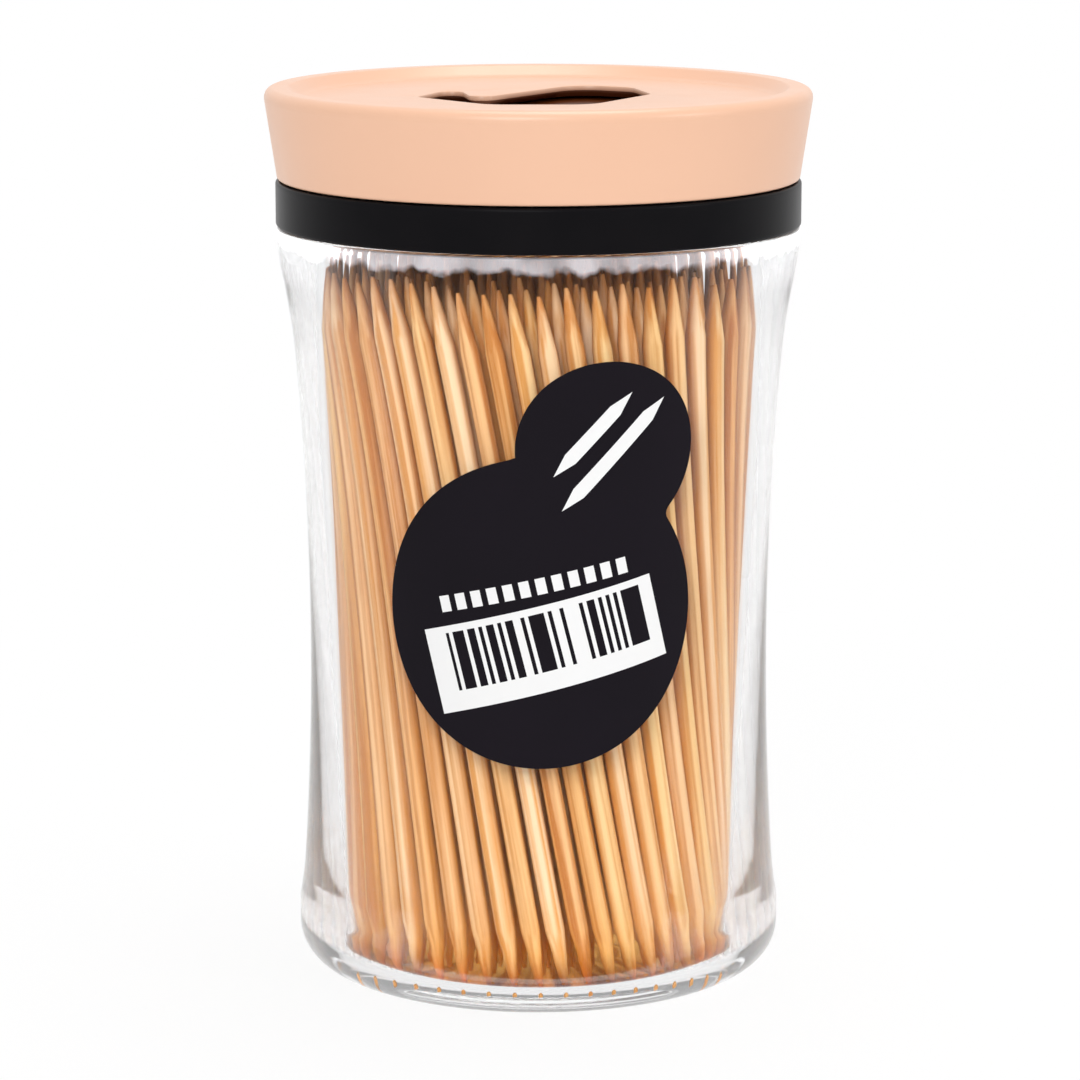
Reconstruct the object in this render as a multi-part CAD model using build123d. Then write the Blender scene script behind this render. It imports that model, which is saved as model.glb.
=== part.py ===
from build123d import *
from math import asin, cos, floor, hypot, pi, radians, sin, tan
import os
import random

# Toothpicks: they set the height of the jar that holds them
pick_length = 66.4
pick_length_spread = 0.5
pick_diameter = 1.8
pick_point_length = 5.5
pick_gap = 0.3             # least clear space between neighbouring rings of picks
pick_room = 0.27           # clear space beside each pick along its ring, at the foot
pick_stand_gap = 0.05
bundle_rings = 8
bundle_side_gap = 0.12     # between the outer ring of picks and the jar at the top
bundle_foot_tuck = 1.75    # how far the outer ring stands in from its top radius at the foot
bundle_twist = 20.0        # degrees round the jar from the feet of the picks to their tops
bundle_swing = 15.0        # degrees that the twist gains at the front and loses at the back
bundle_sway = 0.35         # degrees by which feet and tops wander round the bundle
foot_waves = 4             # times that the feet wander to and fro on the way round
top_waves = 5

# Jar: clear tumbler with a thick wall, a waist and a stepped neck
mouth_radius = 20.75
mouth_draft = 0.3          # degrees, widening upward from the knee of the cavity
cavity_knee_height = 51.65
cavity_draft = 2.13        # degrees, widening upward from the floor to the knee
cavity_corner = 1.5
floor_thickness = 2.0
head_space = 8.75          # from the tips of the picks to the top of the neck
neck_wall = 1.15
neck_height = 6.2
neck_rounding = 0.4
shoulder_ledge = 2.6
collar_height = 4.6        # where the flare bends back upright below the shoulder
collar_inset = 0.46        # how far its foot stands in from the shoulder
flare_wall = 2.25
flare_drop = 12.3          # below the shoulder
waist_wall = 1.87
waist_height = 31.65
heel_wall = 3.38
heel_height = 10.15
foot_wall = 4.05
foot_height = 6.15
foot_rounding = 3.8
base_recess_radius = 17.5
base_recess_depth = 0.4
gate_mark_radius = 1.6
gate_mark_depth = 0.2

# Neck cap: black stopper with the plate that the picks leave through
fit_gap = 0.15             # push fit on the neck
plug_wall = 1.0
plug_depth = 7.0
plug_lead = 0.35
band_height = 4.2
band_overhang = 0.1
band_rounding = 0.3
turret_wall = 0.9
web_thickness = 1.0
groove_height = 1.9
groove_depth = 0.6
groove_wall = 1.3
plate_thickness = 1.2
outlet_radius = 3.0
outlet_offset = 5.2
outlet_bevel = 0.8

# Cover: coloured lid that turns on the neck cap
turn_gap = 0.15
cover_side_gap = 0.2
cover_lift_gap = 0.25
cover_thickness = 1.1
skirt_wall = 1.28
skirt_rounding = 0.3
rim_flare = 1.12
rim_flare_height = 7.4
rim_rise = 1.05
rim_width = 2.2
rim_slope_width = 1.3
rim_rounding = 0.9
rim_inner_rounding = 0.45
rim_foot_rounding = 1.4
lug_count = 4
lug_angle = 24.0
lug_height = 1.1
opening_lip = 0.45         # thickness that the cover keeps beside the opening
opening_bevel_angle = 55.0
opening_corners = [         # x, y and rounding
    (-11.4, 0.2, 1.5),
    (-7.8, 9.2, 1.2),
    (-6.0, -1.4, 1.4),
    (3.6, 13.2, 3.0),
    (9.0, 10.2, 2.6),
    (10.6, 3.2, 2.5),
    (4.8, -7.6, 3.2),
    (-4.6, -7.6, 3.0),
]

# Label: two overlapping discs of black film on the front of the jar
label_thickness = 0.12
label_glue_gap = 0.03
label_large_radius = 14.4
label_large_centre = (0.2, 38.15)
label_small_radius = 8.15
label_small_centre = (6.1, 53.05)
label_notch_rounding = 1.0

# Heights and radii that follow from the sizes above
neck_top = floor_thickness + pick_length + head_space
shoulder_height = neck_top - neck_height
flare_height = shoulder_height - flare_drop


def cavity_radius(height):
    above_knee = neck_top - max(height, cavity_knee_height)
    below_knee = max(cavity_knee_height - height, 0)
    return mouth_radius - above_knee * tan(radians(mouth_draft)) - below_knee * tan(radians(cavity_draft))


neck_radius = mouth_radius + neck_wall
shoulder_radius = neck_radius + shoulder_ledge
flare_radius = cavity_radius(flare_height) + flare_wall
waist_radius = cavity_radius(waist_height) + waist_wall
heel_radius = cavity_radius(heel_height) + heel_wall
foot_radius = cavity_radius(foot_height) + foot_wall

web_bottom = neck_top + fit_gap
web_top = web_bottom + web_thickness
plate_bottom = web_top + groove_height
plate_top = plate_bottom + plate_thickness
band_top = shoulder_height + band_height
turret_radius = neck_radius + fit_gap + turret_wall
groove_radius = turret_radius - groove_depth
band_radius = shoulder_radius + band_overhang
plug_bottom = neck_top - plug_depth

cover_bottom = band_top + turn_gap
cover_underside = plate_top + cover_lift_gap
cover_face = cover_underside + cover_thickness
cover_top = cover_face + rim_rise
cover_bore = turret_radius + cover_side_gap
skirt_radius = cover_bore + skirt_wall
rim_radius = skirt_radius + rim_flare


def turn_section(section):
    return revolve(Plane.XZ * make_face(section), Axis.Z)


def turned(*corners):
    """Solid of revolution from corners given as radius, height and rounding."""
    points = [(radius, height) for radius, height, _ in corners]
    roundings = [rounding for _, _, rounding in corners]
    return turn_section(FilletPolyline(*points, radius=roundings, close=True))


def jar_side(stand_off=0.0):
    """Curved side of the jar from heel to shoulder, moved outward by stand_off."""
    waist = (waist_radius + stand_off, waist_height)
    tuck = TangentArc(waist, (heel_radius + stand_off, heel_height), tangent=(0, -1))
    rise = TangentArc(waist, (flare_radius + stand_off, flare_height), tangent=(0, 1))
    collar_foot = (shoulder_radius - collar_inset + stand_off, shoulder_height - collar_height)
    flare = TangentArc(rise @ 1, collar_foot, tangent=rise % 1)
    collar = TangentArc(flare @ 1, (shoulder_radius + stand_off, shoulder_height), tangent=flare % 1)
    return tuck, rise, flare, collar


def make_jar():
    tuck, rise, flare, collar = jar_side()
    heel = TangentArc(tuck @ 1, (foot_radius, foot_height), tangent=tuck % 1)
    base = FilletPolyline(
        heel @ 1,
        (foot_radius, 0),
        (base_recess_radius, 0),
        (base_recess_radius - base_recess_depth, base_recess_depth),
        (0, base_recess_depth),
        radius=[foot_rounding, 0, 0],
    )
    inside = FilletPolyline(
        collar @ 1,
        (neck_radius, shoulder_height),
        (neck_radius, neck_top),
        (mouth_radius, neck_top),
        (cavity_radius(cavity_knee_height), cavity_knee_height),
        (cavity_radius(floor_thickness), floor_thickness),
        (0, floor_thickness),
        radius=[0, neck_rounding, neck_rounding, 0, cavity_corner],
    )
    axis = Line(inside @ 1, base @ 1)
    gate_mark = Pos(0, 0, base_recess_depth) * Cylinder(gate_mark_radius, 2 * gate_mark_depth)
    return turn_section([tuck, rise, flare, collar, heel, base, inside, axis]) - gate_mark


def make_neck_cap():
    plug_foot = cavity_radius(plug_bottom) - fit_gap
    plug_top = cavity_radius(web_bottom) - fit_gap
    plug_bore = plug_foot - plug_wall
    sleeve_radius = neck_radius + fit_gap
    shell = turned(
        (plug_bore, plug_bottom, 0),
        (plug_foot, plug_bottom, plug_lead),
        (plug_top, web_bottom, 0),
        (sleeve_radius, web_bottom, 0),
        (sleeve_radius, shoulder_height, 0),
        (band_radius, shoulder_height, band_rounding),
        (band_radius, band_top, band_rounding),
        (turret_radius, band_top, 0),
        (turret_radius, web_top, 0),
        (groove_radius, web_top, 0),
        (groove_radius, plate_bottom, 0),
        (turret_radius, plate_bottom, 0),
        (turret_radius, plate_top, band_rounding),
        (0, plate_top, 0),
        (0, plate_bottom, 0),
        (groove_radius - groove_wall, plate_bottom, 0),
        (groove_radius - groove_wall, web_top, 0),
        (plug_bore, web_top, 0),
    )
    outlet = turned(
        (0, plate_bottom - turn_gap, 0),
        (outlet_radius + outlet_bevel + turn_gap, plate_bottom - turn_gap, 0),
        (outlet_radius, plate_bottom + outlet_bevel, 0),
        (outlet_radius, plate_top + turn_gap, 0),
        (0, plate_top + turn_gap, 0),
    )
    return shell - Pos(outlet_offset, 0, 0) * outlet


def opening_cutter():
    """Lobed opening with a thin straight lip over a bevel that widens to the underside."""
    points = [(x, y) for x, y, _ in opening_corners]
    roundings = [rounding for _, _, rounding in opening_corners]
    outline = make_face(FilletPolyline(points, radius=roundings, close=True))
    at_lip = Pos(0, 0, cover_face - opening_lip) * outline
    bevel_depth = cover_thickness - opening_lip
    bevel = extrude(at_lip, bevel_depth, dir=(0, 0, -1), taper=-opening_bevel_angle)
    return extrude(at_lip, 2 * opening_lip) + bevel


def make_cover():
    shell = turned(
        (cover_bore, cover_bottom, 0),
        (skirt_radius, cover_bottom, skirt_rounding),
        (rim_radius, cover_bottom + rim_flare_height, rim_rounding),
        (rim_radius, cover_top, rim_rounding),
        (rim_radius - rim_width, cover_top, rim_inner_rounding),
        (rim_radius - rim_width - rim_slope_width, cover_face, rim_foot_rounding),
        (0, cover_face, 0),
        (0, cover_underside, 0),
        (cover_bore, cover_underside, 0),
    )
    lug_radius = groove_radius + turn_gap
    lug_top = plate_bottom - turn_gap
    lug_section = make_face(Polyline(
        (cover_bore + skirt_wall / 4, lug_top),
        (lug_radius, lug_top),
        (lug_radius, lug_top - lug_height / 2),
        (cover_bore, lug_top - lug_height),
        (cover_bore + skirt_wall / 4, lug_top - lug_height),
        close=True,
    ))
    lug = revolve(Plane.XZ * lug_section, Axis.Z, revolution_arc=lug_angle)
    for place in PolarLocations(0, lug_count):
        shell += place * lug
    return shell - opening_cutter()


def label_disc(radius, centre):
    """Disc laid on the jar, seen from the front as an ellipse."""
    along, height = centre
    left, right = (waist_radius * sin((along + side) / waist_radius) for side in (-radius, radius))
    return Pos((left + right) / 2, height) * Ellipse((right - left) / 2, radius)


def make_label():
    outline = label_disc(label_large_radius, label_large_centre)
    outline += label_disc(label_small_radius, label_small_centre)
    notches = [v for v in outline.vertices() if abs(v.X) < label_large_radius]
    outline = fillet(notches, label_notch_rounding)
    front = extrude(Plane.XZ * outline, shoulder_radius + label_thickness)
    inner = jar_side(label_glue_gap)
    outer = jar_side(label_glue_gap + label_thickness)
    ends = [Line(inner[i] @ 1, outer[i] @ 1) for i in (0, -1)]
    return turn_section([*inner, *outer, *ends]) & front


def make_pick(foot, top, length):
    """Straight six-sided pick, pointed at both ends, from foot towards top."""
    run = Vector(*top) - Vector(*foot)
    across = RegularPolygon(pick_diameter / 2, 6)
    sections = [
        Vertex(0, 0, 0),
        Pos(0, 0, pick_point_length) * across,
        Pos(0, 0, length - pick_point_length) * across,
        Vertex(0, 0, length),
    ]
    return Plane(origin=foot, z_dir=run).location * loft(sections, ruled=True)


def ring_ends(ring_radius, foot_ratio, turn):
    """Foot and top of the pick whose middle lies at the angle turn, in radians."""
    half_twist = radians(bundle_twist - bundle_swing * sin(turn)) / 2
    foot_turn = turn + half_twist + radians(bundle_sway) * cos(foot_waves * turn)
    top_turn = turn - half_twist + radians(bundle_sway) * sin(top_waves * turn)
    stand = floor_thickness + pick_stand_gap
    inset_radius = ring_radius * foot_ratio
    foot = (inset_radius * cos(foot_turn), inset_radius * sin(foot_turn), stand)
    top = (ring_radius * cos(top_turn), ring_radius * sin(top_turn), stand + pick_length)
    return foot, top


def picks_side_by_side(radius):
    """How many picks stand in a ring of this radius: at least one."""
    half_pitch = (pick_diameter + pick_room) / 2
    return floor(pi / asin(min(half_pitch / radius, 1))) if radius > 0 else 1


def make_pick_rings():
    """Rings of picks, each leaning as its neighbours do, so that no two of them cross."""
    outer_radius = cavity_radius(floor_thickness + pick_length) - pick_diameter / 2 - bundle_side_gap
    foot_ratio = 1 - bundle_foot_tuck / outer_radius
    twist = radians(bundle_twist + bundle_swing)
    run = hypot(1 - foot_ratio * cos(twist), foot_ratio * sin(twist))
    waist_ratio = foot_ratio * sin(twist) / run
    ring_step = (pick_diameter + pick_gap) / waist_ratio
    lengths = random.Random(11)
    rings = []
    for ring in range(bundle_rings):
        ring_radius = max(outer_radius - ring * ring_step, 0)
        count = picks_side_by_side(ring_radius * foot_ratio)
        picks = []
        for place in range(count):
            foot, top = ring_ends(ring_radius, foot_ratio, 2 * pi * place / count)
            length = pick_length + lengths.uniform(-pick_length_spread, pick_length_spread)
            picks.append(make_pick(foot, top, length))
        rings.append(Compound(picks))
    return rings


parts = {
    "jar": make_jar(),
    "neck_cap": make_neck_cap(),
    "cover": make_cover(),
    "label": make_label(),
}
for number, ring in enumerate(make_pick_rings(), 1):
    parts[f"toothpicks_ring_{number}"] = ring

os.makedirs("parts", exist_ok=True)
for name, shape in parts.items():
    export_step(shape, f"parts/{name}.step")
    print(name, len(shape.solids()), round(shape.volume, 1))
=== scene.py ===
import math
import random
import bmesh
import bpy
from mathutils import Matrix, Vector


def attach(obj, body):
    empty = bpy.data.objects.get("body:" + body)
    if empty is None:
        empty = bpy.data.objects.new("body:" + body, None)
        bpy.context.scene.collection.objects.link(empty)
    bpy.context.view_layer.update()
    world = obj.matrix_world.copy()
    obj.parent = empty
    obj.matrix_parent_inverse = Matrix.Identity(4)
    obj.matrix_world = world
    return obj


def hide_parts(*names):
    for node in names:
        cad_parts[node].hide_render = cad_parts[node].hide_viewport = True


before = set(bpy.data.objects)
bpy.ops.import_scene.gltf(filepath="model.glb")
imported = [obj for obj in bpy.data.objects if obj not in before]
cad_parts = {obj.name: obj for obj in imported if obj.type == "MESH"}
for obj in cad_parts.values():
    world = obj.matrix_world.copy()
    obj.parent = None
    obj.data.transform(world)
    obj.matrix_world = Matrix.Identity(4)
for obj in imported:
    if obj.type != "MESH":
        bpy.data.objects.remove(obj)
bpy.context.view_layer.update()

mm = 0.001
tau = 2 * math.pi
scene = bpy.context.scene


# one wrapped socket, so that sums on sockets read as plain sums
class Wire:
    def __init__(self, web, socket):
        self.web = web
        self.socket = socket

    def maths(self, operation, *others):
        return self.web.node("ShaderNodeMath", {"operation": operation}, dict(enumerate((self, *others))))

    def __add__(self, other):
        return self.maths("ADD", other)

    __radd__ = __add__

    def __sub__(self, other):
        return self.maths("SUBTRACT", other)

    def __rsub__(self, other):
        return self.web.node("ShaderNodeMath", {"operation": "SUBTRACT"}, {0: other, 1: self})

    def __mul__(self, other):
        return self.maths("MULTIPLY", other)

    __rmul__ = __mul__

    def __truediv__(self, other):
        return self.maths("DIVIDE", other)

    def __pow__(self, other):
        return self.maths("POWER", other)

    def __lt__(self, other):
        return self.maths("LESS_THAN", other)

    def __abs__(self):
        return self.maths("ABSOLUTE")

    def orElse(self, other):
        return self.maths("MAXIMUM", other)

    def atMost(self, other):
        return self.maths("MINIMUM", other)


# the nodes of one tree
class Web:
    def __init__(self, tree):
        self.tree = tree

    def plug(self, target, value):
        if isinstance(value, Wire):
            self.tree.links.new(value.socket, target)
        else:
            target.default_value = value

    def node(self, kind, settings=None, inputs=None, out=0):
        made = self.tree.nodes.new(kind)
        for name, value in (settings or {}).items():
            setattr(made, name, value)
        for key, value in (inputs or {}).items():
            self.plug(made.inputs[key], value)
        return Wire(self, made.outputs[out])

    def split(self, vector):
        parts = self.node("ShaderNodeSeparateXYZ", inputs={0: vector}).socket.node.outputs
        return [Wire(self, part) for part in parts]

    def noise(self, vector, scale, detail=2.0, roughness=0.5):
        return self.node("ShaderNodeTexNoise", inputs={
            "Vector": vector, "Scale": scale, "Detail": detail, "Roughness": roughness})

    def spread(self, share, low, high, start=0.0, end=1.0):
        return self.node("ShaderNodeMapRange", inputs={
            "Value": share, "From Min": start, "From Max": end, "To Min": low, "To Max": high})

    # from 0 to 1 between two lengths in millimetres, and from 1 to 0
    def rise(self, length, start, end):
        return self.spread(length, 0.0, 1.0, start * mm, end * mm)

    def fall(self, length, start, end):
        return self.spread(length, 1.0, 0.0, start * mm, end * mm)

    def blend(self, share, first, second, way="MIX"):
        settings = {"data_type": "RGBA", "blend_type": way}
        return self.node("ShaderNodeMix", settings, {0: share, 6: first, 7: second}, out=2)

    def bump(self, height, strength, distance):
        return self.node("ShaderNodeBump", inputs={
            "Height": height, "Strength": strength, "Distance": distance})

    def objectPlace(self):
        return self.node("ShaderNodeTexCoord", out="Object")

    def attribute(self, name, out):
        return self.node("ShaderNodeAttribute", {"attribute_name": name}, out=out)

    def vectorMaths(self, operation, *vectors, out=0):
        return self.node("ShaderNodeVectorMath", {"operation": operation}, dict(enumerate(vectors)), out)

    def stretched(self, vector, factors):
        return self.vectorMaths("MULTIPLY", vector, factors)


def newMaterial(name):
    material = bpy.data.materials.new(name)
    material.use_nodes = True
    return material, Web(material.node_tree)


def setShader(material, web, values):
    shader = material.node_tree.nodes["Principled BSDF"]
    for name, value in values.items():
        web.plug(shader.inputs[name], value)
    return Wire(web, shader.outputs[0])


def setSurface(material, web, shader):
    web.plug(material.node_tree.nodes["Material Output"].inputs["Surface"], shader)


def fromAxis(x, y):
    return (x * x + y * y) ** 0.5


# outlines, as points in a plane
def tangentArc(start, end, along, steps):
    (x0, y0), (x1, y1) = start, end
    side = (-along[1], along[0])
    chord = (x1 - x0, y1 - y0)
    radius = (chord[0] ** 2 + chord[1] ** 2) / (2 * (side[0] * chord[0] + side[1] * chord[1]))
    centre = (x0 + side[0] * radius, y0 + side[1] * radius)
    first = math.atan2(y0 - centre[1], x0 - centre[0])
    sweep = (math.atan2(y1 - centre[1], x1 - centre[0]) - first + math.pi) % tau - math.pi
    size = abs(radius)
    turns = [first + sweep * i / steps for i in range(steps + 1)]
    points = [(centre[0] + size * math.cos(t), centre[1] + size * math.sin(t)) for t in turns]
    way = math.copysign(1, sweep)
    return points, (-math.sin(turns[-1]) * way, math.cos(turns[-1]) * way)


def roundedCorner(before, corner, after, radius, steps):
    if radius == 0:
        return [corner]
    corner = Vector(corner)
    toBefore = (Vector(before) - corner).normalized()
    toAfter = (Vector(after) - corner).normalized()
    half = toBefore.angle(toAfter) / 2
    middle = corner + (toBefore + toAfter).normalized() * radius / math.sin(half)
    first = (corner + toBefore * radius / math.tan(half) - middle).normalized()
    last = (corner + toAfter * radius / math.tan(half) - middle).normalized()
    return [tuple(middle + first.slerp(last, i / steps) * radius) for i in range(steps + 1)]


def roundedPath(corners, steps=6, closed=False):
    points = []
    for i, (x, y, radius) in enumerate(corners):
        isEnd = not closed and i in (0, len(corners) - 1)
        after = corners[(i + 1) % len(corners)][:2]
        points += roundedCorner(corners[i - 1][:2], (x, y), after, 0 if isEnd else radius, steps)
    return points


# points close to the ends of each long run, which keep flats flat beside a smooth rounding
def withHolds(points, margin=0.3):
    held = [points[0]]
    for start, end in zip(points, points[1:]):
        run = math.dist(start, end)
        if run > 4 * margin:
            for share in (margin / run, 1 - margin / run):
                held.append(tuple(a + (b - a) * share for a, b in zip(start, end)))
        held.append(end)
    return held


def grownLoop(points, amount):
    grown = []
    for i, (x, y) in enumerate(points):
        run = (Vector(points[(i + 1) % len(points)]) - Vector(points[i - 1])).normalized()
        grown.append((x + run.y * amount, y - run.x * amount))
    return grown


def ringOf(radius, height, count, centreX=0.0):
    turns = [tau * i / count for i in range(count)]
    return [((centreX + radius * math.cos(t)) * mm, radius * math.sin(t) * mm, height * mm) for t in turns]


# meshes
def joinRings(build, first, second):
    count = max(len(first), len(second))
    for i in range(count):
        j = (i + 1) % count
        corners = [first[i % len(first)], first[j % len(first)]]
        corners += [second[j % len(second)], second[i % len(second)]]
        unique = list(dict.fromkeys(corners))
        if len(unique) > 2:
            build.faces.new(unique)


def turnedRings(build, path, segments):
    rings = []
    for radius, height in withHolds(path):
        ring = ringOf(radius, height, segments if radius > 1e-4 else 1)
        rings.append([build.verts.new(point) for point in ring])
    for low, high in zip(rings, rings[1:]):
        joinRings(build, low, high)
    return rings


def fillBetween(build, *rings):
    edges = []
    for ring in rings:
        for corner, other in zip(ring, ring[1:] + ring[:1]):
            edges.append(build.edges.get((corner, other)) or build.edges.new((corner, other)))
    bmesh.ops.triangle_fill(build, use_beauty=True, edges=edges)


def closedMesh(build):
    bmesh.ops.recalc_face_normals(build, faces=build.faces)
    mesh = bpy.data.meshes.new("draft")
    build.to_mesh(mesh)
    build.free()
    return mesh


# a turned shell whose flat middle has a shaped hole: its rings run from the top to the underside
def turnedWithHole(path, segments, holeRings):
    build = bmesh.new()
    rings = turnedRings(build, path, segments)
    holes = [[build.verts.new(point) for point in ring] for ring in holeRings]
    for low, high in zip(holes, holes[1:]):
        joinRings(build, low, high)
    fillBetween(build, rings[0], holes[0])
    fillBetween(build, rings[-1], holes[-1])
    return build


def addPiece(name, mesh, body, material, nodes, sharpAngle=35):
    mesh.name = name
    mesh.shade_smooth()
    mesh.set_sharp_from_angle(angle=math.radians(sharpAngle))
    mesh.materials.clear()
    mesh.materials.append(material)
    piece = bpy.data.objects.new(name, mesh)
    scene.collection.objects.link(piece)
    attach(piece, body)
    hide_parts(*nodes)


# camera: where the photograph was taken from
view = dict(distance=0.3975, height=0.11875, tiltDown=11.118, focalPixels=4257, axisPixel=538.5, frame=1080)


def makeCamera():
    data = bpy.data.cameras.new("photoView")
    data.sensor_width = 36
    data.lens = data.sensor_width * view["focalPixels"] / view["frame"]
    data.shift_x = (view["frame"] / 2 - view["axisPixel"]) / view["frame"]
    data.clip_start = 0.01
    camera = bpy.data.objects.new("photoView", data)
    camera.location = (0, -view["distance"], view["height"])
    camera.rotation_euler = (math.radians(90 - view["tiltDown"]), 0, 0)
    scene.collection.objects.link(camera)
    scene.camera = camera


makeCamera()
print("camera placed")

# jar
jar = dict(
    mouth=20.75, mouthDraft=0.3, knee=51.65, kneeRounding=300, draft=2.13, cavityCorner=1.5, floor=2.0,
    neckTop=77.15, neckWall=1.15, neckHeight=6.2, neckRounding=0.4, ledge=2.6, collar=4.6,
    collarInset=0.46, flareWall=2.25, flareDrop=12.3, waistWall=1.87, waist=31.65, heelWall=3.38, heel=10.15,
    footWall=4.05, foot=6.15, footRounding=3.8, recess=17.5, recessDepth=0.4,
    gateMark=1.6, gateDepth=0.2, edge=0.25, steps=24, fineSteps=96, segments=192,
)


def cavityRadius(height):
    aboveKnee = jar["neckTop"] - max(height, jar["knee"])
    belowKnee = max(jar["knee"] - height, 0)
    drafts = [math.tan(math.radians(jar[name])) for name in ("mouthDraft", "draft")]
    return jar["mouth"] - aboveKnee * drafts[0] - belowKnee * drafts[1]


shoulder = jar["neckTop"] - jar["neckHeight"]
neckRadius = jar["mouth"] + jar["neckWall"]
shoulderRadius = neckRadius + jar["ledge"]
waistRadius = cavityRadius(jar["waist"]) + jar["waistWall"]


# the curved side, upward from the waist and downward from it
def jarSide(steps):
    waist = (waistRadius, jar["waist"])
    heel = (cavityRadius(jar["heel"]) + jar["heelWall"], jar["heel"])
    foot = (cavityRadius(jar["foot"]) + jar["footWall"], jar["foot"])
    flareHeight = shoulder - jar["flareDrop"]
    flare = (cavityRadius(flareHeight) + jar["flareWall"], flareHeight)
    tuck, down = tangentArc(waist, heel, (0, -1), steps)
    turnIn, _ = tangentArc(heel, foot, down, steps // 3)
    rise, up = tangentArc(waist, flare, (0, 1), steps)
    collarFoot = (shoulderRadius - jar["collarInset"], shoulder - jar["collar"])
    opening, up = tangentArc(flare, collarFoot, up, steps // 2)
    collar, _ = tangentArc(collarFoot, (shoulderRadius, shoulder), up, steps // 3)
    return rise + opening[1:] + collar[1:], tuck + turnIn[1:]


def sideRadius(height):
    rise, tuck = jarSide(jar["fineSteps"])
    side = tuck[:0:-1] + rise
    for (r0, z0), (r1, z1) in zip(side, side[1:]):
        if z0 <= height <= z1:
            return r0 + (r1 - r0) * (height - z0) / (z1 - z0)


def jarPath():
    rise, tuck = jarSide(jar["steps"])
    depth, edge, gate = jar["recessDepth"], jar["edge"], jar["gateMark"]
    base = roundedPath([
        (0, depth + jar["gateDepth"], 0), (gate, depth + jar["gateDepth"], 0), (gate, depth, 0),
        (jar["recess"] - depth, depth, edge), (jar["recess"], 0, edge),
        (tuck[-1][0], 0, jar["footRounding"]), (*tuck[-1], 0),
    ], steps=10)
    inside = roundedPath([
        (*rise[-2], 0), (shoulderRadius, shoulder, edge), (neckRadius, shoulder, edge),
        (neckRadius, jar["neckTop"], jar["neckRounding"]),
        (jar["mouth"], jar["neckTop"], jar["neckRounding"]),
        (cavityRadius(jar["knee"]), jar["knee"], jar["kneeRounding"]),
        (cavityRadius(jar["floor"]), jar["floor"], jar["cavityCorner"]), (0, jar["floor"], 0),
    ], steps=8)
    return base[:-1] + tuck[:0:-1] + rise[:-2] + inside


# clear plastic: heights and radii are in millimetres, the painted glow's heights run down from the shoulder,
# and a ripple or grain is a bump's strength with its distance in metres
glass = dict(
    colour=(0.975, 0.982, 0.99, 1), shadowColour=(0.96, 0.97, 0.98, 1), ior=1.45, tint=(0.2, 0.2, 0.2, 1),
    alpha=(0.84, 0.96), alphaRise=(8, 16), roughness=(0.0, 0.03), hazeScale=900.0,
    rippleScale=55.0, ripple=(0.06, 0.0003),
    glow=(0.66, 0.63, 0.66, 1), glowFrom=(22.5, 23.5), glowFoot=(1.8, 1.2), glowTop=(0.35, 0.1),
    ragged=0.4, raggedScale=520.0, raggedContrast=(0.3, 0.7),
    patches=(0.6, 1.0), patchScale=260.0, patchContrast=(0.35, 0.65),
    feetDark=(0.16, 0.022, 0.001, 1), feetPale=(0.66, 0.20, 0.015, 1),
    feetScale=13.0, feetContrast=(0.42, 0.58),
    feetWithin=(19.0, 19.6), feetAbove=(1.2, 1.6), feetBelow=(2.8, 5.5),
)


# painted glow: an emission stands for the light that the thick collar gathers from the wall below it, and
# shows as a pale ring under the band
def paintedCollarGlow(web, place):
    x, y, z = web.split(place)
    outer = web.rise(fromAxis(x, y), *glass["glowFrom"])
    shift = web.noise(place, glass["raggedScale"])
    shift = web.spread(shift, -glass["ragged"], glass["ragged"], *glass["raggedContrast"]) * mm
    above = web.rise(z + shift, *(shoulder - depth for depth in glass["glowFoot"]))
    below = web.fall(z, *(shoulder - depth for depth in glass["glowTop"]))
    patches = web.noise(place, glass["patchScale"])
    return outer * above * below * web.spread(patches, *glass["patches"], *glass["patchContrast"])


# painted reflection: the floor inside the jar takes on the colour of the feet of the picks, as if it mirrored
# them
def paintedFeetReflection(web, place):
    x, y, z = web.split(place)
    inside = web.fall(fromAxis(x, y), *glass["feetWithin"])
    return inside * web.rise(z, *glass["feetAbove"]) * web.fall(z, *glass["feetBelow"])


# the colour of the painted reflection, streaked round the axis like the feet it stands for
def paintedFeetReflectionColour(web, place):
    around = web.vectorMaths("NORMALIZE", web.stretched(place, (1, 1, 0)))
    streaks = web.noise(around, glass["feetScale"], detail=1.0)
    streaks = web.spread(streaks, 0.0, 1.0, *glass["feetContrast"])
    return web.blend(streaks, glass["feetDark"], glass["feetPale"])


# its shadow lets the lamps through to the picks
def clearPlastic():
    material, web = newMaterial("clearPlastic")
    place = web.objectPlace()
    height = web.split(place)[2]
    # the feet mask paints a reflection of the pick feet into the base colour, and makes the plastic opaque
    # there
    feet = paintedFeetReflection(web, place)
    alphaFrom, alphaTo = (z * mm for z in glass["alphaRise"])
    shader = setShader(material, web, {
        "Base Color": web.blend(feet, glass["colour"], paintedFeetReflectionColour(web, place)), "IOR": glass["ior"],
        "Transmission Weight": 1.0, "Specular Tint": glass["tint"],
        "Alpha": web.spread(height, *glass["alpha"], alphaFrom, alphaTo).orElse(feet),
        "Roughness": web.spread(web.noise(place, glass["hazeScale"]), *glass["roughness"]),
        "Normal": web.bump(web.noise(place, glass["rippleScale"], detail=1.0), *glass["ripple"]),
        # the emission colour is the painted glow of the collar
        "Emission Color": web.blend(paintedCollarGlow(web, place), (0, 0, 0, 1), glass["glow"]),
        "Emission Strength": 1.0,
    })
    passing = web.node("ShaderNodeBsdfTransparent", inputs={"Color": glass["shadowColour"]})
    isShadow = web.node("ShaderNodeLightPath", out="Is Shadow Ray")
    setSurface(material, web, web.node("ShaderNodeMixShader", inputs={0: isShadow, 1: shader, 2: passing}))
    return material


def jarMesh():
    build = bmesh.new()
    turnedRings(build, jarPath(), jar["segments"])
    return closedMesh(build)


addPiece("clearJar", jarMesh(), "jar", clearPlastic(), ["jar"])
print("jar turned")

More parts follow.
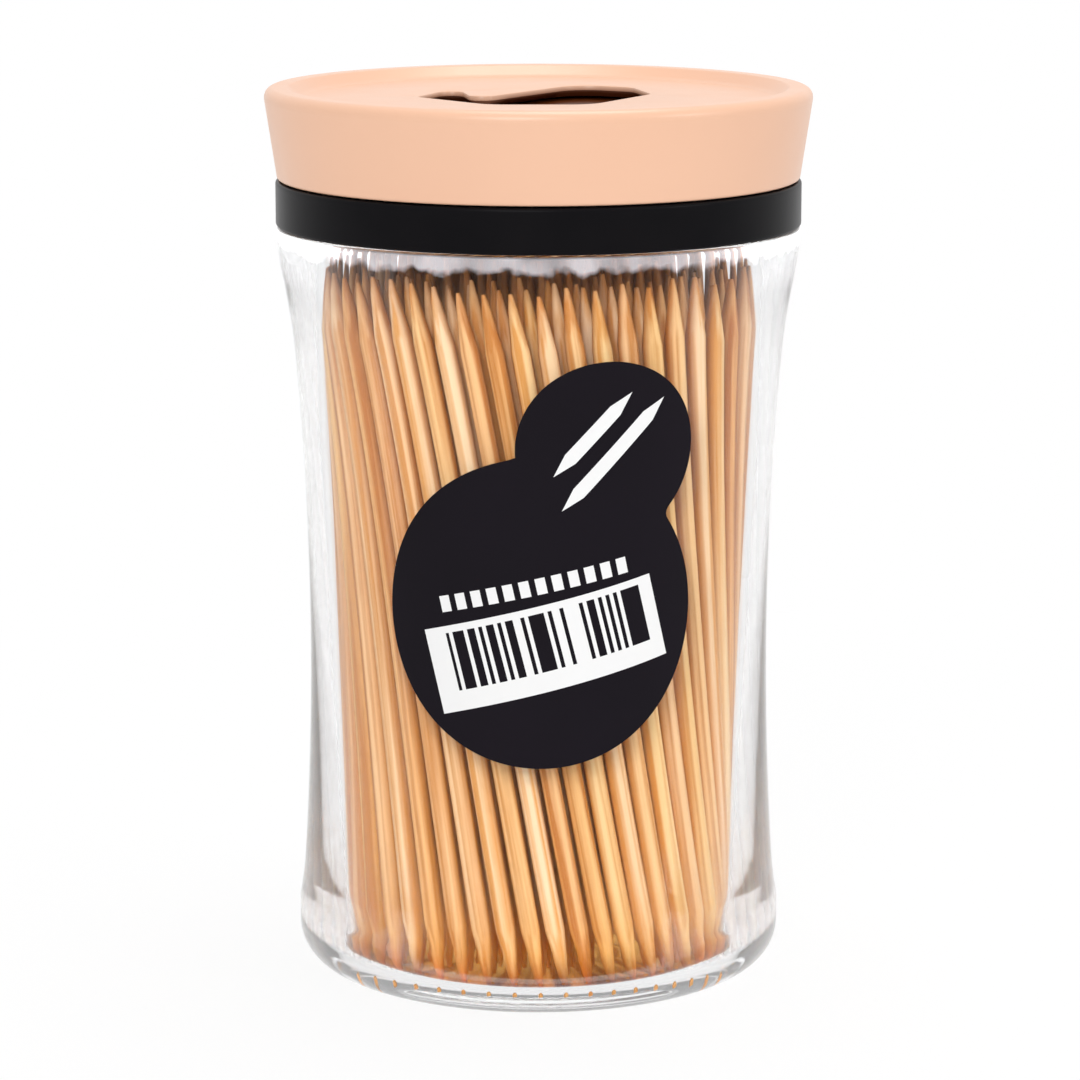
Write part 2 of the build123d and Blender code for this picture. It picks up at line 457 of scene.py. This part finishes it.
# neck cap
cap = dict(
    gap=0.15, plugWall=1.0, plugDepth=7.0, plugLead=0.35, bandHeight=4.2, overhang=0.1, rounding=0.3,
    turretWall=0.9, web=1.0, grooveHeight=1.9, grooveDepth=0.6, grooveWall=1.3, plate=1.2,
    outlet=3.0, outletOffset=5.2, outletBevel=0.8, edge=0.12, holeField=14.0, segments=160, outletSegments=64,
)
webBottom = jar["neckTop"] + cap["gap"]
webTop = webBottom + cap["web"]
plateBottom = webTop + cap["grooveHeight"]
plateTop = plateBottom + cap["plate"]
bandTop = shoulder + cap["bandHeight"]
turretRadius = neckRadius + cap["gap"] + cap["turretWall"]
grooveRadius = turretRadius - cap["grooveDepth"]
bandRadius = shoulderRadius + cap["overhang"]


def capPath():
    plugBottom = jar["neckTop"] - cap["plugDepth"]
    plugFoot = cavityRadius(plugBottom) - cap["gap"]
    plugTop = cavityRadius(webBottom) - cap["gap"]
    plugBore = plugFoot - cap["plugWall"]
    sleeve = neckRadius + cap["gap"]
    inner = grooveRadius - cap["grooveWall"]
    rounding, edge = cap["rounding"], cap["edge"]
    return roundedPath([
        (cap["holeField"], plateTop, 0), (turretRadius, plateTop, rounding),
        (turretRadius, plateBottom, edge), (grooveRadius, plateBottom, edge),
        (grooveRadius, webTop, edge), (turretRadius, webTop, edge), (turretRadius, bandTop, edge),
        (bandRadius, bandTop, rounding), (bandRadius, shoulder, rounding), (sleeve, shoulder, edge),
        (sleeve, webBottom, edge), (plugTop, webBottom, edge), (plugFoot, plugBottom, cap["plugLead"]),
        (plugBore, plugBottom, edge), (plugBore, webTop, edge), (inner, webTop, edge),
        (inner, plateBottom, edge), (cap["holeField"], plateBottom, 0),
    ])


# the upper edge of a hole, slightly rounded: how far it grows, and at what height
def softEdge(edge, top):
    return [(edge, top), (edge * 0.3, top - edge * 0.3), (0, top - edge)]


def outletRings():
    bevel = cap["outletBevel"]
    levels = softEdge(cap["edge"], plateTop) + [(0, plateBottom + bevel), (bevel, plateBottom)]
    return [ringOf(cap["outlet"] + grow, height, cap["outletSegments"], cap["outletOffset"])
            for grow, height in levels]


# black plastic, with painted warm light on the outlet plate: a brown that stands for the light through the
# lid
capFinish = dict(
    dark=(0.002, 0.002, 0.003, 1), pale=(0.006, 0.005, 0.006, 1), brown=(0.075, 0.018, 0.004, 1),
    brownDepth=(0.3, 0.1), roughness=(0.26, 0.38), specular=0.06, cloudScale=160.0,
    grainScale=2600.0, grain=(0.06, 0.00005),
)


def blackPlastic():
    material, web = newMaterial("blackPlastic")
    place = web.objectPlace()
    cloud = web.noise(place, capFinish["cloudScale"], detail=3.0)
    black = web.blend(cloud, capFinish["dark"], capFinish["pale"])
    # painted warm light: the top of the outlet plate turns brown
    underLid = web.rise(web.split(place)[2], *(plateTop - depth for depth in capFinish["brownDepth"]))
    setShader(material, web, {
        "Base Color": web.blend(underLid, black, capFinish["brown"]),
        "Roughness": web.spread(cloud, *capFinish["roughness"]),
        "Specular IOR Level": capFinish["specular"],
        "Normal": web.bump(web.noise(place, capFinish["grainScale"]), *capFinish["grain"]),
    })
    return material


addPiece("neckCap", closedMesh(turnedWithHole(capPath(), cap["segments"], outletRings())), "neck_cap",
         blackPlastic(), ["neck_cap"])
print("neck cap turned")

# cover
lid = dict(
    turnGap=0.15, sideGap=0.2, liftGap=0.25, plate=1.1, skirtWall=1.28, skirtRounding=0.3,
    flare=1.12, flareHeight=7.4, rimRise=1.05, rimWidth=2.2, slope=1.3, rimRounding=0.9,
    innerRounding=0.45, rimFootRounding=1.4, lip=0.45, bevelAngle=55.0,
    lugs=4, lugAngle=24.0, lugHeight=1.1, lugSteps=8,
    edge=0.14, holeField=15.5, segments=192,
    opening=[(-11.4, 0.2, 1.5), (-7.8, 9.2, 1.2), (-6.0, -1.4, 1.4), (3.6, 13.2, 3.0),
             (9.0, 10.2, 2.6), (10.6, 3.2, 2.5), (4.8, -7.6, 3.2), (-4.6, -7.6, 3.0)],
)
lidBottom = bandTop + lid["turnGap"]
lidUnderside = plateTop + lid["liftGap"]
lidFace = lidUnderside + lid["plate"]
lidTop = lidFace + lid["rimRise"]
lidBore = turretRadius + lid["sideGap"]
skirtRadius = lidBore + lid["skirtWall"]
rimRadius = skirtRadius + lid["flare"]


def lidPath():
    crest = rimRadius - lid["rimWidth"]
    edge, rounding = lid["edge"], lid["rimRounding"]
    return roundedPath([
        (lid["holeField"], lidFace, 0), (crest - lid["slope"], lidFace, lid["rimFootRounding"]),
        (crest, lidTop, lid["innerRounding"]), (rimRadius, lidTop, rounding),
        (rimRadius, lidBottom + lid["flareHeight"], rounding), (skirtRadius, lidBottom, lid["skirtRounding"]),
        (lidBore, lidBottom, edge), (lidBore, lidUnderside, edge), (lid["holeField"], lidUnderside, 0),
    ], steps=10)


def openingRings():
    outline = roundedPath(lid["opening"], steps=12, closed=True)[::-1]
    widest = (lid["plate"] - lid["lip"]) * math.tan(math.radians(lid["bevelAngle"]))
    levels = softEdge(lid["edge"], lidFace) + [(0, lidFace - lid["lip"]), (widest, lidUnderside)]
    return [[(x * mm, y * mm, height * mm) for x, y in grownLoop(outline, grow)] for grow, height in levels]


def addLugs(build):
    inner, outer = grooveRadius + lid["turnGap"], lidBore + lid["edge"]
    top = plateBottom - lid["turnGap"]
    foot = top - lid["lugHeight"]
    profile = [(outer, top), (inner, top), (inner, (top + foot) / 2), (lidBore, foot), (outer, foot)]
    for lug in range(lid["lugs"]):
        rows = []
        for step in range(lid["lugSteps"] + 1):
            turn = tau * lug / lid["lugs"] + math.radians(lid["lugAngle"]) * step / lid["lugSteps"]
            across = (math.cos(turn) * mm, math.sin(turn) * mm)
            rows.append([build.verts.new((r * across[0], r * across[1], z * mm)) for r, z in profile])
        for first, second in zip(rows, rows[1:]):
            joinRings(build, first, second)
        build.faces.new(rows[0])
        build.faces.new(rows[-1])


# peach plastic: the shade lies within a radius and at a depth below the lid's face
lidFinish = dict(
    deep=(0.81, 0.47, 0.31, 1), pale=(0.85, 0.52, 0.355, 1), roughness=(0.28, 0.40), specular=0.55,
    cloudScale=45.0, smearScale=300.0, grainScale=2200.0, grain=(0.05, 0.00006),
    shade=(0.22, 0.06, 0.02, 1), shadeWithin=(15.0, 15.6), shadeDepth=(0.75, 0.1),
    point=(-4.6, 0.6), pointShade=0.15, pointReach=(1.4, 3.4),
)


# the wall of the opening darkens with depth, less so on the point between its lobes
def openingShade(web, place):
    x, y, z = web.split(place)
    inner = web.fall(fromAxis(x, y), *lidFinish["shadeWithin"])
    deep = web.fall(z, *(lidFace - depth for depth in lidFinish["shadeDepth"]))
    pointX, pointY = lidFinish["point"]
    near, far = (reach * mm for reach in lidFinish["pointReach"])
    away = web.spread(fromAxis(x - pointX * mm, y - pointY * mm), lidFinish["pointShade"], 1.0, near, far)
    return inner * deep * away


def peachPlastic():
    material, web = newMaterial("peachPlastic")
    place = web.objectPlace()
    peach = web.blend(web.noise(place, lidFinish["cloudScale"]), lidFinish["deep"], lidFinish["pale"])
    smear = web.noise(place, lidFinish["smearScale"], detail=3.0)
    setShader(material, web, {
        "Base Color": web.blend(openingShade(web, place), peach, lidFinish["shade"]),
        "Roughness": web.spread(smear, *lidFinish["roughness"]),
        "Specular IOR Level": lidFinish["specular"],
        "Normal": web.bump(web.noise(place, lidFinish["grainScale"]), *lidFinish["grain"]),
    })
    return material


def lidMesh():
    build = turnedWithHole(lidPath(), lid["segments"], openingRings())
    addLugs(build)
    return closedMesh(build)


addPiece("cover", lidMesh(), "cover", peachPlastic(), ["cover"])
print("cover turned and pierced")

# label: each row of its mesh runs round the jar at one height
label = dict(
    glueGap=0.03, thickness=0.12, discs=[(0.2, 38.15, 14.4), (6.1, 53.05, 8.15)],
    rows=200, columns=40, notchBlend=1.2,
)


def softMax(first, second, blend):
    near = max(blend - abs(first - second), 0) / blend
    return max(first, second) + near * near * blend / 4


def labelReach(height, side):
    reaches = []
    for along, middle, radius in label["discs"]:
        half = radius ** 2 - (height - middle) ** 2
        if half > -1e-6:
            reaches.append(side * along + math.sqrt(max(half, 0)))
    return softMax(*reaches, label["notchBlend"]) if len(reaches) == 2 else reaches[0]


def labelRow(height, lift):
    left, right = -labelReach(height, -1), labelReach(height, 1)
    radius = sideRadius(height) + lift
    shares = [j / label["columns"] for j in range(label["columns"] + 1)]
    turns = [(left + (right - left) * share) / waistRadius for share in shares]
    return [(radius * math.sin(t) * mm, -radius * math.cos(t) * mm, height * mm) for t in turns]


def labelMesh():
    low = min(middle - radius for _, middle, radius in label["discs"])
    high = max(middle + radius for _, middle, radius in label["discs"])
    count = label["rows"]
    heights = [low + (high - low) * (1 - math.cos(math.pi * i / count)) / 2 for i in range(count + 1)]
    build = bmesh.new()
    borders = []
    for lift in (label["glueGap"] + label["thickness"], label["glueGap"]):
        rows = [[build.verts.new(point) for point in labelRow(height, lift)] for height in heights]
        for first, second in zip(rows, rows[1:]):
            for j in range(label["columns"]):
                build.faces.new((first[j], first[j + 1], second[j + 1], second[j]))
        leftSide = [row[0] for row in rows]
        rightSide = [row[-1] for row in rows]
        borders.append(leftSide + rows[-1][1:-1] + rightSide[::-1] + rows[0][-2:0:-1])
    joinRings(build, *borders)
    bmesh.ops.remove_doubles(build, verts=build.verts, dist=1e-7)
    return closedMesh(build)


filmFinish = dict(
    dark=(0.005, 0.004, 0.006, 1), pale=(0.010, 0.007, 0.012, 1), ink=(0.86, 0.86, 0.86, 1),
    roughness=(0.5, 0.65), specular=0.08, cloudScale=70.0, grainScale=1800.0, grain=(0.04, 0.00004),
)

# printed marks: along runs round the jar from the front, and both it and height are in millimetres
marks = dict(
    panel=dict(along=0.75, height=34.95, width=21.6, tall=7.9, tilt=14.2),
    bars=dict(along=1.1, height=35.65, width=18.6, tall=5.4, tilt=14.2, module=0.36, share=0.52),
    dots=dict(along=-0.5, height=40.55, width=18.0, tall=1.5, tilt=12.6, pitch=1.5, filled=0.62),
    sticks=[dict(along=4.7, height=54.55, width=10.2, tall=1.25, tilt=48.0, point=2.2),
            dict(along=6.6, height=52.65, width=13.6, tall=1.25, tilt=48.0, point=2.2)],
)


def onMark(along, height, mark):
    tilt = math.radians(mark["tilt"])
    right, up = along - mark["along"], height - mark["height"]
    return right * math.cos(tilt) + up * math.sin(tilt), up * math.cos(tilt) - right * math.sin(tilt)


def markBox(u, v, mark):
    return (abs(u) < mark["width"] / 2) * (abs(v) < mark["tall"] / 2)


def markBars(web, u, v, mark):
    step = (u / mark["module"]).maths("FLOOR")
    chance = web.node("ShaderNodeTexWhiteNoise", {"noise_dimensions": "1D"}, {"W": step})
    return markBox(u, v, mark) * (chance < mark["share"])


def markDots(u, v, mark):
    within = abs((u / mark["pitch"]).maths("FRACT") - 0.5) < mark["filled"] / 2
    return markBox(u, v, mark) * within


def markStick(u, v, mark):
    taper = ((mark["width"] / 2 - abs(u)) / mark["point"]).atMost(1.0)
    return abs(v) < taper * (mark["tall"] / 2)


def labelPrint(web, along, height):
    white = markBox(*onMark(along, height, marks["panel"]), marks["panel"])
    white = white * (1 - markBars(web, *onMark(along, height, marks["bars"]), marks["bars"]))
    white = white.orElse(markDots(*onMark(along, height, marks["dots"]), marks["dots"]))
    for stick in marks["sticks"]:
        white = white.orElse(markStick(*onMark(along, height, stick), stick))
    return white


def labelFilm():
    material, web = newMaterial("labelFilm")
    place = web.objectPlace()
    x, y, z = web.split(place)
    along = x.maths("ARCTAN2", 0 - y) * waistRadius
    cloud = web.noise(place, filmFinish["cloudScale"], detail=3.0)
    film = web.blend(cloud, filmFinish["dark"], filmFinish["pale"])
    setShader(material, web, {
        "Base Color": web.blend(labelPrint(web, along, z / mm), film, filmFinish["ink"]),
        "Roughness": web.spread(cloud, *filmFinish["roughness"]),
        "Specular IOR Level": filmFinish["specular"],
        "Normal": web.bump(web.noise(place, filmFinish["grainScale"]), *filmFinish["grain"]),
    })
    return material


addPiece("frontLabel", labelMesh(), "jar", labelFilm(), ["label"], sharpAngle=50)
print("label laid on the jar")

# toothpicks: a line from foot to tip of each solid, swept in a geometry tree
pick = {
    "Radius": 0.9 * mm, "Thinning": 0.06, "Point Length": 5.5 * mm, "Tip Share": 0.2, "Sides": 10, "Seed": 5,
}
pickBow = 0.03  # millimetres
pickTaper = 0.75  # below 1 the points are full, at 1 they are straight cones
pickDim = [0.0, 0.15, 0.6, 0.85]  # shading of the outermost ring, the next, and so on inward
pickRings = sorted(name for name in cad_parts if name.startswith("toothpicks_ring"))


def looseParts(build):
    seen = set()
    for first in build.verts:
        if first in seen:
            continue
        seen.add(first)
        part, todo = [], [first]
        while todo:
            here = todo.pop()
            part.append(here.co.copy())
            fresh = [edge.other_vert(here) for edge in here.link_edges]
            fresh = [other for other in dict.fromkeys(fresh) if other not in seen]
            seen.update(fresh)
            todo += fresh
        yield part


def pickEnds(node):
    build = bmesh.new()
    build.from_mesh(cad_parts[node].data)
    bmesh.ops.remove_doubles(build, verts=build.verts, dist=1e-6)
    ends = [(min(part, key=lambda p: p.z), max(part, key=lambda p: p.z)) for part in looseParts(build)]
    build.free()
    return sorted(ends, key=lambda pair: math.atan2(pair[0].y, pair[0].x))


def pickLines():
    chance = random.Random(4)
    points, edges, depths = [], [], []
    picks = [(depth, *ends) for depth, node in enumerate(pickRings) for ends in pickEnds(node)]
    for depth, foot, top in picks:
        run = top - foot
        taper = pick["Point Length"] / run.length
        bow = Vector((chance.uniform(-1, 1), chance.uniform(-1, 1), 0)) * pickBow * mm
        for i, share in enumerate((0, taper / 4, taper, 0.5, 1 - taper, 1 - taper / 4, 1)):
            points.append(foot + run * share + bow * math.sin(math.pi * share))
            depths.append(pickDim[min(depth, len(pickDim) - 1)])
            if i:
                edges.append((len(points) - 2, len(points) - 1))
    mesh = bpy.data.meshes.new("pickLines")
    mesh.from_pydata(points, edges, [])
    mesh.attributes.new("pickDepth", "FLOAT", "POINT").data.foreach_set("value", depths)
    return mesh


def pickTree(material):
    tree = bpy.data.node_groups.new("pickSweep", "GeometryNodeTree")
    tree.interface.new_socket("Lines", in_out="INPUT", socket_type="NodeSocketGeometry")
    for name, value in pick.items():
        kind = "NodeSocketInt" if isinstance(value, int) else "NodeSocketFloat"
        tree.interface.new_socket(name, in_out="INPUT", socket_type=kind)
    tree.interface.new_socket("Picks", in_out="OUTPUT", socket_type="NodeSocketGeometry")
    web = Web(tree)
    given = tree.nodes.new("NodeGroupInput")
    wires = [Wire(web, socket) for socket in given.outputs[:-1]]
    lines, radius, thinning, point, tipShare, sides, seed = wires

    curve = web.node("GeometryNodeMeshToCurve", inputs={"Mesh": lines})
    number = web.node("GeometryNodeInputIndex")
    tone = web.node("FunctionNodeRandomValue", {"data_type": "FLOAT"}, {"ID": number, "Seed": seed}, out=1)
    curve = web.node("GeometryNodeStoreNamedAttribute", {"data_type": "FLOAT", "domain": "CURVE"}, {
        "Geometry": curve, "Name": "pickTone", "Value": tone})
    along = web.node("GeometryNodeSplineParameter", out="Length")
    total = web.node("GeometryNodeSplineLength", out="Length")
    taper = (along.atMost(total - along) / point).atMost(1.0).orElse(0.0) ** pickTaper
    thin = web.node("GeometryNodeInputNamedAttribute", {"data_type": "FLOAT"}, {"Name": "pickTone"})
    width = radius * (tipShare + (1 - tipShare) * taper) * (1 - thin * thinning)

    held = tree.nodes.new("GeometryNodeCaptureAttribute")
    held.capture_items.new("VECTOR", "axisPlace")
    held.capture_items.new("FLOAT", "alongPick")
    web.plug(held.inputs["Geometry"], curve)
    web.plug(held.inputs["axisPlace"], web.node("GeometryNodeInputPosition"))
    web.plug(held.inputs["alongPick"], along)
    profile = web.node("GeometryNodeCurvePrimitiveCircle", inputs={"Resolution": sides, "Radius": 1.0})
    swept = web.node("GeometryNodeCurveToMesh", inputs={
        "Curve": Wire(web, held.outputs["Geometry"]), "Profile Curve": profile, "Scale": width,
        "Fill Caps": True})
    axis = Wire(web, held.outputs["axisPlace"])
    across = web.vectorMaths("SUBTRACT", web.node("GeometryNodeInputPosition"), axis)
    outward = web.vectorMaths("NORMALIZE", web.stretched(axis, (1, 1, 0)))
    facing = web.vectorMaths("DOT_PRODUCT", across, outward, out="Value")
    swept = web.node("GeometryNodeStoreNamedAttribute", {"data_type": "FLOAT", "domain": "POINT"}, {
        "Geometry": swept, "Name": "pickFacing", "Value": facing / radius})
    x, y, _ = web.split(across)
    grain = web.node("ShaderNodeCombineXYZ", inputs={0: x, 1: y, 2: Wire(web, held.outputs["alongPick"])})
    swept = web.node("GeometryNodeStoreNamedAttribute", {"data_type": "FLOAT_VECTOR", "domain": "POINT"}, {
        "Geometry": swept, "Name": "grainPlace", "Value": grain})
    swept = web.node("GeometryNodeRealizeInstances", inputs={"Geometry": swept})
    swept = web.node("GeometryNodeSetMaterial", inputs={"Geometry": swept, "Material": material})
    web.plug(tree.nodes.new("NodeGroupOutput").inputs[0], swept)
    return tree


def grownMesh(mesh, tree, values):
    holder = bpy.data.objects.new("holder", mesh)
    scene.collection.objects.link(holder)
    modifier = holder.modifiers.new("sweep", "NODES")
    modifier.node_group = tree
    for socket in tree.interface.items_tree:
        if socket.name in values:
            modifier[socket.identifier] = values[socket.name]
    evaluated = holder.evaluated_get(bpy.context.evaluated_depsgraph_get())
    grown = bpy.data.meshes.new_from_object(evaluated)
    holder.modifiers.remove(modifier)
    bpy.data.objects.remove(holder)
    return grown


# bamboo: each pair of colours is for the palest and the darkest pick, and heights are in millimetres
wood = dict(
    fibres=(3200, 3200, 70), streaks=(1600, 1600, 14), fibreShare=0.25, contrast=(0.43, 0.60), grainShift=0.9,
    pale=((0.98, 0.71, 0.44, 1), (0.90, 0.47, 0.17, 1)), deep=((0.84, 0.40, 0.12, 1), (0.50, 0.15, 0.024, 1)),
    yellow=(0.97, 0.93, 0.62, 1), yellowShare=(0.0, 0.8), yellowFrom=(0.55, 1.0), yellowSpin=7.3,
    foot=(0.97, 0.80, 0.48, 1), footShare=0.85, footHeights=(3.0, 11.0),
    lowShade=(0.74, 0.30, 0.026, 1), highShade=(0.46, 0.135, 0.014, 1), shadeHeights=(14, 50),
    sideShade=0.8, sideFrom=(0.05, 0.72), roughness=(0.5, 0.75), specular=0.3, grain=(0.4, 0.00006),
)


# fibres along the pick, a yellow cast on some picks, and a warm foot
def woodColour(web, fibre, shifted, tone, height):
    streak = web.noise(web.stretched(shifted, wood["streaks"]), 1.0, detail=1.5)
    grain = fibre * wood["fibreShare"] + streak * (1 - wood["fibreShare"])
    pale, deep = (web.blend(tone, *wood[name]) for name in ("pale", "deep"))
    colour = web.blend(web.spread(grain, 0.0, 1.0, *wood["contrast"]), pale, deep)
    cast = (tone * wood["yellowSpin"]).maths("FRACT")
    yellowed = web.spread(cast, *wood["yellowShare"], *wood["yellowFrom"])
    colour = web.blend(yellowed, colour, wood["yellow"], way="MULTIPLY")
    foot = web.fall(height, *wood["footHeights"]) * wood["footShare"]
    return web.blend(foot, colour, wood["foot"], way="MULTIPLY")


# what the picks in front, and each pick's own sides, keep the light from
def woodShade(web, height):
    side = web.spread(web.attribute("pickFacing", "Fac"), wood["sideShade"], 0.0, *wood["sideFrom"])
    share = side.orElse(web.attribute("pickDepth", "Fac"))
    return share, web.blend(web.rise(height, *wood["shadeHeights"]), wood["lowShade"], wood["highShade"])


def bamboo():
    material, web = newMaterial("bamboo")
    tone = web.attribute("pickTone", "Fac")
    height = web.split(web.objectPlace())[2]
    shifted = web.vectorMaths("ADD", web.attribute("grainPlace", "Vector"), tone * wood["grainShift"])
    fibre = web.noise(web.stretched(shifted, wood["fibres"]), 1.0, detail=3.0, roughness=0.6)
    share, shade = woodShade(web, height)
    setShader(material, web, {
        "Base Color": web.blend(share, woodColour(web, fibre, shifted, tone, height), shade),
        "Roughness": web.spread(fibre, *wood["roughness"]), "Specular IOR Level": wood["specular"],
        "Normal": web.bump(fibre, *wood["grain"]),
    })
    return material


bambooFinish = bamboo()
addPiece("toothpicks", grownMesh(pickLines(), pickTree(bambooFinish), pick), "jar", bambooFinish,
         pickRings, sharpAngle=60)
print("toothpicks swept")

# studio
studio = dict(
    floorRadius=4.0, floorColour=(0.93, 0.93, 0.93, 1), floorWhite=(0.88, 1.0), fadeFrom=0.03, fadeTo=0.16,
    floorDrop=0.00005, surround=0.55, aim=0.04,
    lamps=[
        dict(name="front", place=(-0.25, -1.3, 0.75), size=0.7, power=7.4),
        dict(name="above", place=(0.1, 0.15, 1.1), size=0.7, power=5.0),
        dict(name="side", place=(1.1, -0.5, 0.5), size=0.4, power=2.1),
    ],
)


def seenByEye(web):
    kinds = ("Camera", "Glossy", "Transmission")
    rays = [web.node("ShaderNodeLightPath", out=f"Is {kind} Ray") for kind in kinds]
    return rays[0].orElse(rays[1]).orElse(rays[2])


def makeSurround():
    world = bpy.data.worlds.new("surround")
    scene.world = world
    world.use_nodes = True
    web = Web(world.node_tree)
    background = world.node_tree.nodes["Background"]
    background.inputs["Color"].default_value = (1, 1, 1, 1)
    web.plug(background.inputs["Strength"], web.spread(seenByEye(web), studio["surround"], 1.0))


def paleFloor():
    material, web = newMaterial("paleFloor")
    shader = setShader(material, web, {"Base Color": studio["floorColour"], "Roughness": 0.9})
    distance = web.vectorMaths("LENGTH", web.objectPlace(), out="Value")
    white = seenByEye(web) * web.spread(distance, *studio["floorWhite"], studio["fadeFrom"], studio["fadeTo"])
    glow = web.node("ShaderNodeEmission", inputs={"Color": (1, 1, 1, 1), "Strength": 1.0})
    setSurface(material, web, web.node("ShaderNodeMixShader", inputs={0: white, 1: shader, 2: glow}))
    return material


def makeFloor():
    build = bmesh.new()
    bmesh.ops.create_circle(build, cap_ends=True, segments=96, radius=studio["floorRadius"])
    for corner in build.verts:
        corner.co.z = -studio["floorDrop"]
    floor = bpy.data.objects.new("floor", closedMesh(build))
    floor.data.materials.append(paleFloor())
    scene.collection.objects.link(floor)


def makeLamps():
    for lamp in studio["lamps"]:
        data = bpy.data.lights.new(lamp["name"], "AREA")
        data.shape = "DISK"
        data.size = lamp["size"]
        data.energy = lamp["power"]
        made = bpy.data.objects.new(lamp["name"], data)
        made.location = lamp["place"]
        towards = Vector((0, 0, studio["aim"])) - made.location
        made.rotation_euler = towards.to_track_quat("-Z", "Y").to_euler()
        scene.collection.objects.link(made)


makeSurround()
makeFloor()
makeLamps()
scene.view_settings.view_transform = "Standard"
print("floor, surround and lamps set")
